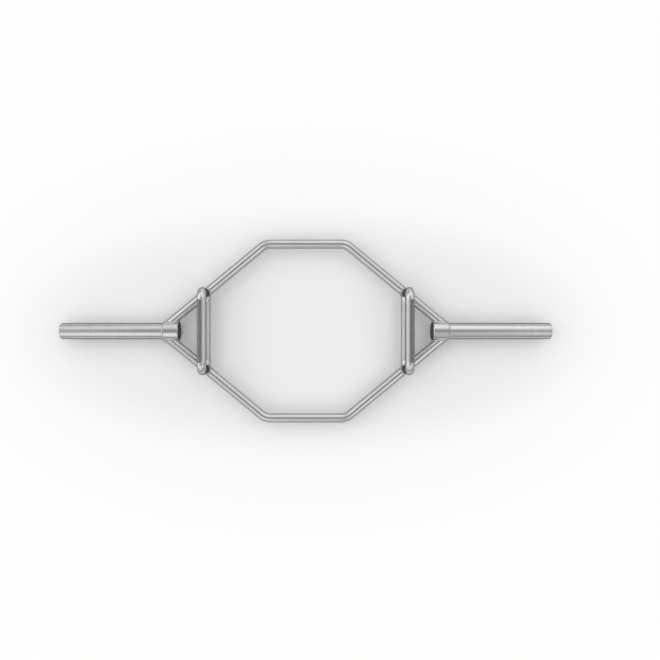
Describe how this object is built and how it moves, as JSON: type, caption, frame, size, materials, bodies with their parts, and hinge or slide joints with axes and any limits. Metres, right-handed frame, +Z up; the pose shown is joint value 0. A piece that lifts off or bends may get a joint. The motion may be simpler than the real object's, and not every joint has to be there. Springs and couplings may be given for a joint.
{
  "type": "hex trap bar",
  "caption": "Six-sided lifting bar to stand inside, with a plate sleeve on each side and knurled handles at frame level and raised above it.",
  "frame": {"origin": "midway between the sleeves and between front and rear, level with the underside of the root collars, which is the bar's lowest line", "axes": "+X along the sleeves towards the right one, +Y towards the rear frame bar, +Z up towards the raised handles"},
  "size_m": [1.524, 0.57, 0.144],
  "materials": {
    "frame_steel": "satin steel bar, brushed along its length",
    "collar_steel": "satin turned steel",
    "sleeve_steel": "satin turned steel, smooth where plates slide",
    "handle_steel": "satin steel, diamond knurled along the grip",
    "weld_metal": "rippled weld bead under the same plating",
    "plug_plastic": "black moulded plastic"
  },
  "bodies": {
    "root": {"rear_frame_bar": "frame_steel", "front_frame_bar": "frame_steel", "left_root_collar": "collar_steel", "right_root_collar": "collar_steel", "left_sleeve": "sleeve_steel", "right_sleeve": "sleeve_steel", "left_end_cap": "sleeve_steel", "right_end_cap": "sleeve_steel", "left_collar_plug": "plug_plastic", "right_collar_plug": "plug_plastic", "left_raised_handle": "handle_steel", "right_raised_handle": "handle_steel", "left_flush_handle": "handle_steel", "right_flush_handle": "handle_steel", "left_arm_welds": "weld_metal", "right_arm_welds": "weld_metal", "left_handle_welds": "weld_metal", "right_handle_welds": "weld_metal", "left_sleeve_weld": "weld_metal", "right_sleeve_weld": "weld_metal", "left_cap_weld": "weld_metal", "right_cap_weld": "weld_metal"}
  },
  "joints": []
}
